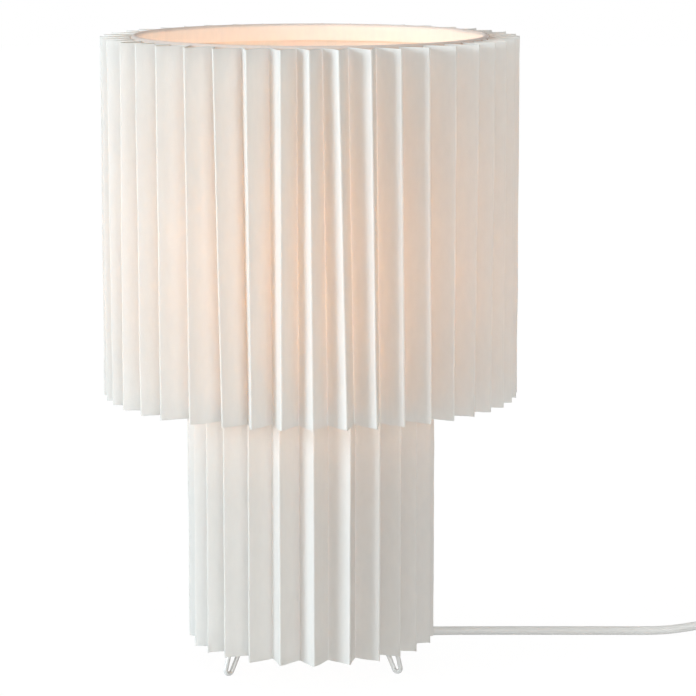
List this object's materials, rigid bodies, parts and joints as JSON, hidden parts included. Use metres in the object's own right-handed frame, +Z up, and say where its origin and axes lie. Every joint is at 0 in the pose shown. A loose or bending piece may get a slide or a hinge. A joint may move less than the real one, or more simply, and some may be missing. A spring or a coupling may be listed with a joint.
{
  "type": "table lamp",
  "caption": "Table lamp with a wide pleated paper shade on a narrower pleated column, on hairpin wire feet, with cord, switch and plug.",
  "frame": {"origin": "on the floor under the lamp's axis, at the bottom centre of the lamp without its cord", "axes": "+Z up along the lamp's axis, -Y to the front, and the cord leaves towards +X"},
  "size_m": [0.5897, 0.27, 0.415],
  "materials": {
    "paper": "matte, lit through",
    "liner": "satin",
    "tape": "satin",
    "white_wire": "powder coated",
    "stand_wire": "powder coated",
    "white_steel": "powder coated",
    "zinc_steel": "zinc plated",
    "holder_plastic": "gloss",
    "porcelain": "glazed",
    "brass": "bright",
    "cord_plastic": "satin",
    "pin_metal": "nickel plated",
    "cap_metal": "bright",
    "solder": "dull",
    "collar_plastic": "matte",
    "opal_glass": "opal"
  },
  "bodies": {
    "lamp": {"shade_pleats": "paper", "column_pleats": "paper", "shade_liner": "liner", "column_liner": "liner", "shade_top_hem": "tape", "shade_bottom_hem": "tape", "column_top_hem": "tape", "column_bottom_hem": "tape", "shade_top_ring": "white_wire", "shade_bottom_ring": "white_wire", "column_top_ring": "white_wire", "shade_arm_1": "white_wire", "shade_arm_2": "white_wire", "shade_arm_3": "white_wire", "column_arm_1": "white_wire", "column_arm_2": "white_wire", "column_arm_3": "white_wire", "stand_ring": "stand_wire", "stand_leg_1": "stand_wire", "stand_leg_2": "stand_wire", "stand_leg_3": "stand_wire", "stand_hub": "stand_wire", "shade_hub_plate": "white_steel", "column_hub_plate": "white_steel", "support_tube": "zinc_steel", "tube_nuts": "zinc_steel", "tube_washers": "zinc_steel", "terminal_screws": "zinc_steel", "switch_screws": "zinc_steel", "switch_pivot": "zinc_steel", "holder_cap": "holder_plastic", "holder_shell": "holder_plastic", "shade_ring_lower": "holder_plastic", "shade_ring_upper": "holder_plastic", "holder_core": "porcelain", "holder_sleeve": "brass", "holder_contact": "brass", "holder_terminals": "brass", "switch_contacts": "brass", "cord_gland": "cord_plastic", "cord_riser": "cord_plastic", "cord_lead": "cord_plastic", "cord_link": "cord_plastic", "cord_coil": "cord_plastic", "cord_tail": "cord_plastic", "switch_base": "cord_plastic", "switch_cover": "cord_plastic", "plug_body": "cord_plastic", "plug_pins": "pin_metal"},
    "bulb": {"bulb_tip": "solder", "bulb_cap": "cap_metal", "bulb_collar": "collar_plastic", "bulb_globe": "opal_glass"},
    "rocker": {"switch_rocker": "cord_plastic"}
  },
  "joints": [
    {"name": "bulb_lift", "type": "slide", "parent": "lamp", "child": "bulb", "axis": [0, 0, 1], "range_m": [0, 0.03]},
    {"name": "rocker_tilt", "type": "hinge", "parent": "lamp", "child": "rocker", "pos_m": [0.3295, 0.07, 0.0164], "axis": [0, 1, 0], "range_deg": [0, 16]}
  ]
}
